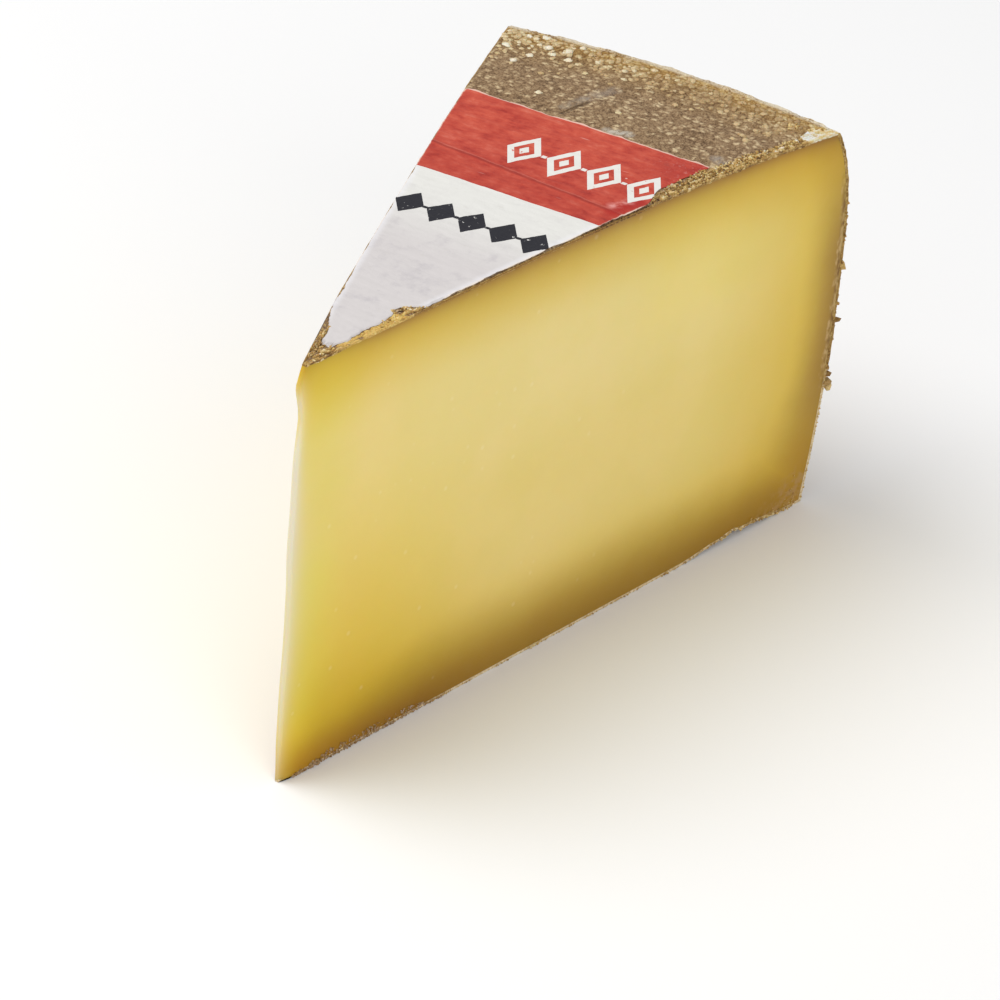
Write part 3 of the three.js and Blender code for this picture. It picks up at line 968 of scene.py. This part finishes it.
def model_broken_edge(side, material):
    """The strip where a cut broke the rind: a fine grid over the top edge and a little down the cut."""
    front = side < 0
    name = "broken_edge_front" if front else "broken_edge_back"
    piece = start_piece(name, bpy.ops.mesh.primitive_grid_add, **STRIP_GRID, size=1)
    tones, tints = [], []

    def lay(co):
        along = 0.4 + (co.x + 0.5) * (CUT_LENGTH / MM - 0.9)
        x, edge = at_cut(along, side)
        width = broken_width(x, side)
        down = max(0, 1 - (co.y + 0.5) / LIP_SHARE)
        share = max(0, (co.y + 0.5 - LIP_SHARE) / (1 - LIP_SHARE))
        inside = share * width / MM
        y = edge - side * (share * width - (0.06 if front else -0.15) * MM)
        shaded = hump(along, 98, 110, 120, 126) * max(0, 0.5 + 1.3 * wave(along / 0.8, 0, 31)) if front else 0
        lip = LIP * (0.15 + 0.85 * max(smooth(width / MM, 0.7, 3), 0.3 * shaded))

        # Torn flakes and ridges, less so in the buttery part by the point
        across = inside - down * lip / MM + 20 * side
        buttery = hump(along, 10, 16, 36, 40) if front else 0
        flakes = 0.45 * flaky(along, across, 1.7, 0.8) + 0.35 * flaky(along, across, 0.8, 0.45)
        flakes *= (1 - 0.6 * buttery) * min(1, 0.25 + width / (2.4 * MM))
        height = broken_height(along, across, width) * (1 - down) * (1 - 0.6 * buttery)

        # The white break at the chipped corner
        torn = 0.4 * flakes + 0.5 * wave(along / 1.3, across / 1.1, 21)
        torn_edge = (1 - smooth(along, 186, 191)) * (1 - smooth(inside, 0.3, 1.3))
        torn -= 0.25 * smooth(along, 191, 196) + 0.5 * torn_edge
        white = smooth(chipped(x, y) + torn, 0.2, 0.5) if front else 0
        at_corner = max(smooth(along, 192, 197), 1 - smooth(inside, 0.4, 1.6))

        brown = 0 if front else 0.2 * smooth(along, 20, 40)
        # Painted shade of the dark pit
        pit_shade = bell(from_point(x), PIT_SHADE[0], 1.1) * bell(y / MM, PIT_SHADE[1], 0.6)
        # The tone follows the relief: partly painted shade in the cracks and low parts, and painted highlight
        # on the ridges
        tone = 0.47 + 0.52 * height + 0.85 * flakes + 0.02 * down
        tone += 0.16 * buttery - brown - 1.1 * pit_shade - 0.45 * shaded
        tones.append(tone + (0.96 + 0.42 * flakes + 0.3 * torn - tone) * white)
        rindy = hump(along, 116, 124, 150, 156) * smooth(share, 0.2, 0.6) if front else 0
        tint = GOLDEN.lerp(BUTTERY, buttery).lerp(GREYED, rindy)
        tints.extend((*tint.lerp(FROSTED.lerp(CREAMY, at_corner), white), 1))

        tuck = 1 - smooth((1 - share) * width / MM, 0, 0.4)
        raised = height * (1 - white) + 0.6 * flakes * (1 - 0.7 * max(down, 0.6 * white)) - 0.55 * tuck
        sunk = 0.35 - 0.15 * white + 0.25 * (1 - smooth(width / MM, 0.7, 1.6)) * (1 - min(1, shaded))
        sunk += 0 if front else 0.25 * smooth(along, 15, 25)
        level = top_surface(x, y) if share > 0.9 or width < 1.5 * MM else wheel_top(x, y)
        out = side * flakes * 0.25 * down * lip / LIP * MM
        return worn(Vector((x, y + out, level + (raised - sunk) * MM - down * lip)))

    move_points(piece, lay)
    give_tones(piece.data, "POINT", tones, tints)
    start_edit(piece)
    under = Vector((0, -side * 0.3, -0.4)) * MM
    bpy.ops.mesh.extrude_region_move(TRANSFORM_OT_translate={"value": under})
    stop_edit(outwards=True)
    return complete(piece, material, VERY_SHARP)


def lump_shapes(draw, subdivisions, uneven):
    """A few small lumps, each pushed out of shape its own way, as corners and faces."""
    shapes = []
    ball = bpy.ops.mesh.primitive_ico_sphere_add
    for _ in range(LUMP_SHAPES):
        model = start_piece("lump", ball, subdivisions=subdivisions, radius=1)
        corners = [vertex.co * (1 + uneven * draw.uniform(-1, 1)) for vertex in model.data.vertices]
        shapes.append((corners, [tuple(face.vertices) for face in model.data.polygons]))
        bpy.data.objects.remove(model)
    return shapes


def scatter(name, shapes, places, draw, material):
    """Copies of a few shapes as one piece, each with its own place, turn, size, tone and tint."""
    corners, faces, tones, tints = [], [], [], []
    for place, turned, tone, tint in places:
        shape, shape_faces = draw.choice(shapes)
        start = len(corners)
        for corner in shape:
            moved = place + turned @ corner
            corners.append((moved.x, moved.y, max(moved.z, 0)))
        faces += [tuple(start + i for i in face) for face in shape_faces]
        tones += [tone] * len(shape_faces)
        tints += [*tint, 1] * len(shape_faces)
    mesh = bpy.data.meshes.new(name)
    mesh.from_pydata(corners, [], faces)
    give_tones(mesh, "FACE", tones, tints)
    mesh.materials.append(material)
    piece = bpy.data.objects.new(name, mesh)
    bpy.context.collection.objects.link(piece)
    return piece


def tumbled(draw, radius):
    """A crumb's turn and size: any way up, and longer one way than the others."""
    axis = Vector([draw.uniform(-1, 1) for _ in range(3)]) + Vector((0, 0, 1.1))
    stretched = Matrix.Diagonal((radius * draw.uniform(1, 1.7), radius, radius * 0.8))
    return Matrix.Rotation(draw.uniform(0, math.tau), 3, axis) @ stretched


def crumb_places(draw):
    """Where the crumbs lie, as place, turn, tone and tint: on the broken strips, the heel and the foot."""
    places = []

    def drop(place, smallest, largest, tone, tint=GOLDEN):
        radius = draw.uniform(smallest, largest) * MM
        places.append((worn(Vector(place)), tumbled(draw, radius), tone, tint))

    def drop_on_top(x, y, deep, *looks):
        """On the wheel's top without its lumps, or so many mm deeper."""
        drop((x, y, wheel_top(x, y) - deep * MM), *looks)

    def drop_by_cut(along, side, inside, height, *looks):
        drop((*at_cut(along, side, inside), height * MM), *looks)

    for side in (-1, 1):
        for _ in range(STRIP_CRUMBS):
            share = draw.uniform(0.01, 0.995)
            x, _ = at_cut(share * CUT_LENGTH / MM, side)
            width = broken_width(x, side)
            y = side * (half_width(x) - draw.random() * width)
            bare = draw.random() < smooth(width / MM, 0.9, 4.5) * (0.3 if 0.06 < share < 0.19 else 1)
            if bare and (side > 0 or chipped(x, y) == 0):
                drop_on_top(x, y, 0.1, 0.12, 0.4, draw.betavariate(2.6, 2.4))
        for _ in range(FOOT_CRUMBS):
            along = draw.uniform(6, 197)
            thick = 0.35 + 0.65 * smooth(abs(along - 100), 40, 85) + 0.8 * lump(along * MM, side, 0, 9)
            if draw.random() < thick:
                inside = draw.uniform(-0.25, 0.2)
                height = 0.15 + thick * 0.8 * draw.random() ** 2
                largest = 0.2 + 0.3 * thick
                # Grey-lilac towards the point, darkened partly as painted shade
                tint = LILAC_AND_SHADE.lerp(GOLDEN, smooth(along, 35, 75))
                drop_by_cut(along, side, inside, height, 0.12, largest, draw.uniform(0.38, 0.8), tint)
        for _ in range(POINT_CRUMBS):
            along = draw.uniform(5, 60)
            tall = 0.3 + 2.2 * hump(along, 5, 18, 45, 60)
            inside = draw.uniform(-0.15, 0.2)
            height = tall * draw.random() ** 1.6
            # Grey-lilac, darkened partly as painted shade
            drop_by_cut(along, side, inside, height, 0.14, 0.38, draw.uniform(0.5, 0.85), LILAC_AND_SHADE)
        heel = []
        for _ in range(HEEL_CRUMBS):
            size = draw.uniform(0.14, 0.42)
            share = 0.97 * draw.random() ** 1.2
            heel.append((share, size, -0.45 * draw.random() - 0.35 * size))
        for share, size, out in heel + list(HEEL_LUMPS):
            reach = side_at_share(share) - WHEEL_RADIUS + out * MM
            x = RIM_X + reach * math.cos(HALF_ANGLE)
            y = side * (half_width(x) - draw.uniform(0, 0.5) * MM)
            tone = draw.uniform(0.2, 0.6) + 0.25 * (1 - smooth(share, 0.28, 0.36))
            drop((x, y, share * EDGE_HEIGHT), size, size, tone, GREYED if size > 1.3 else GOLDEN)
        for _ in range(CORNER_CRUMBS):
            along, height = 197 - draw.expovariate(1 / 4), draw.expovariate(1 / 1.7)
            drop_by_cut(along, side, draw.uniform(-0.05, 0.12), height, 0.12, 0.3, draw.uniform(0.42, 0.66))
    for _ in range(BAND_CRUMBS):
        x, edge = at_cut(draw.uniform(146, 190), -1)
        y = edge + draw.random() ** 0.8 * broken_width(x, -1)
        if chipped(x, y) == 0:
            drop_on_top(x, y, draw.uniform(-0.1, 0.35), 0.13, 0.4, draw.uniform(0.3, 0.8))
    # Dark crumbs under the label's torn front edge: a painted shadow line beneath the paper
    for _ in range(SHADOW_LINE_CRUMBS):
        x, y = at_cut(draw.uniform(100, 126), -1, draw.uniform(-0.08, 0.08))
        drop_on_top(x, y, draw.uniform(0.2, 0.6), 0.1, 0.22, draw.uniform(0.05, 0.35))
    for _ in range(NOTCH_CRUMBS):
        x = POINT_X + draw.gauss(NOTCH[0] - 0.8, 3) * MM
        y = label_margin(x, -1) + draw.gauss(-0.1, 0.4) * MM - half_width(x)
        drop((x, y, top_surface(x, y) + 0.1 * MM), 0.14, 0.34, draw.uniform(0.5, 0.85))
    for _ in range(CHIP_CRUMBS):
        along = CHIP_AT + draw.gauss(0, 3.4)
        x, y = at_cut(along, -1, draw.uniform(0.8, CHIP_REACH[1]))
        if x < RIM_X - 0.5 * MM and chipped(x, y) > 0.2:
            deep = draw.uniform(0.35, 0.6)
            tint = FROSTED.lerp(GOLDEN, smooth(along, 188, 196) * draw.random())
            drop_on_top(x, y, deep, 0.15, 0.4, draw.uniform(0.7, 1.1), tint)
    x, y = at_cut(LOOSE_CRUMBS_AT[0], -1, LOOSE_CRUMBS_AT[1])
    for _ in range(LOOSE_CRUMBS):
        place = (x + draw.gauss(0, 0.9) * MM, y + draw.gauss(0, 0.6) * MM, top_surface(x, y))
        drop(place, 0.3, 0.55, draw.uniform(0.55, 0.8))
    return places


def flake_places(draw):
    """Where the pale flakes lie, as place, turn, tone and tint: most by the wheel's edge, on top and side."""
    places = []
    spots_on_top = []
    for along, y, radius in BIG_FLAKES:
        x = along + POINT_X / MM
        spots_on_top.append((x, y, radius * 0.85, 0.68 + y / 170))
        for _ in range(2):
            turn = draw.uniform(0, math.tau)
            beside = (x + 0.8 * radius * math.cos(turn), y + 0.8 * radius * math.sin(turn))
            size = radius * draw.uniform(0.35, 0.6)
            spots_on_top.append((*beside, size, 0.6 + y / 170 + draw.uniform(-0.15, 0.1)))
    for _ in range(TOP_FLAKES):
        inward = 3 + abs(draw.gauss(4.5, 6.5))
        across = 1 - 2 * draw.random() ** 1.35
        x, y = from_axis(WHEEL_RADIUS - inward * MM, HALF_REACH * across)
        inside = half_width(x) - abs(y)
        clear = inside > broken_width(x, side_of(y)) and chipped(x, y) == 0
        if x > POINT_X + LABEL_END + 1.5 * MM and clear:
            paleness = draw.random() ** 2
            radius = 0.36 + 0.44 * draw.random()
            spots_on_top.append((x / MM, y / MM, radius, 0.28 + 0.2 * across + 0.36 * paleness))
    for x, y, radius, tone in spots_on_top:
        size = radius * MM
        flat = Matrix.Diagonal((size * draw.uniform(1, 1.4), size, 0.42 * size))
        turned = Matrix.Rotation(draw.uniform(0, math.tau), 3, "Z") @ flat
        place = Vector((x, y, 0)) * MM
        place.z = top_surface(place.x, place.y)
        places.append((place, turned, tone, GOLDEN))
    for _ in range(SIDE_FLAKES):
        share = 0.96 - min(draw.expovariate(1 / 0.3), 0.93)
        angle = draw.uniform(-HALF_REACH, HALF_REACH) * 0.98
        radius = (0.25 + 0.65 * draw.random() ** 2) * MM
        out = side_at_share(share) + side_relief(angle * WHEEL_RADIUS, share * EDGE_HEIGHT)
        place = Vector((*from_axis(out, angle), share * EDGE_HEIGHT))
        upright = Matrix.Rotation(angle, 3, "Z") @ Matrix.Rotation(draw.uniform(0, math.tau), 3, "X")
        flat = Matrix.Diagonal((0.3 * radius + 0.1 * MM, radius * draw.uniform(1, 1.5), radius))
        places.append((place, upright @ flat, draw.uniform(0.35, 0.9), GOLDEN))
    return places


def model_crumbs(material):
    draw = random.Random(CRUMB_SEED)
    shapes = lump_shapes(draw, 1, 0.3)
    return scatter("rind_crumbs", shapes, crumb_places(draw), draw, material)


def model_flakes():
    draw = random.Random(FLAKE_SEED)
    shapes = lump_shapes(draw, 2, 0.27)
    piece = scatter("rind_flakes", shapes, flake_places(draw), draw, pale_flakes())
    piece.data.shade_smooth()
    return piece


def model_label():
    """The paper: a fine grid laid over the rind, torn along the cuts, wrinkled, and given a thickness."""
    piece = start_piece("printed_label", bpy.ops.mesh.primitive_grid_add, **LABEL_GRID, size=1)

    def lay(co):
        ragged = 0.35 * MM * wave(0, co.y * 30, 5)
        x = POINT_X + LABEL_TIP + (co.x + 0.5) * (LABEL_END - LABEL_TIP) + ragged
        front = -half_width(x) + label_margin(x, -1)
        back = half_width(x) - label_margin(x, 1)
        y = front + (co.y + 0.5) * (back - front)
        wrinkle = 0.1 * wave(x / (2.6 * MM), y / (14 * MM), 0)
        wrinkle += 0.08 * wave(x / (1.3 * MM), y / (5 * MM), 4)
        wrinkle += 0.3 * bell(from_point(x) - y / MM * CREASE_SLANT, CREASE_AT, 0.8)
        bent = 0.06 * (1 - smooth(min(y - front, back - y) / MM, 0, 1.3))
        inward = math.copysign(0.45 * MM, y) * smooth(from_point(x), 42, 54)
        level = max(top_surface(x, y), top_surface(x, y - inward))
        return worn(Vector((x, y, level + LABEL_LIFT + (wrinkle - bent) * MM)))

    move_points(piece, lay)
    solid = piece.modifiers.new("thickness", "SOLIDIFY")
    solid.thickness = PAPER_THICKNESS
    solid.offset = -1
    bpy.ops.object.modifier_apply(modifier=solid.name)
    return complete(piece, label_print())


def dress():
    """Every piece, riding on the one body and standing for its node."""
    cheese = model_cheese()
    rind = model_rind()
    golden = golden_crumbs()
    broken = [model_broken_edge(-1, golden), model_broken_edge(1, golden), model_crumbs(golden)]
    for piece in [cheese, rind, model_flakes(), *broken]:
        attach(piece, "root")
        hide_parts("cheese_wedge")
    label = model_label()
    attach(label, "root")
    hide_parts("label")


set_camera()
set_light()
lay_floor()
dress()
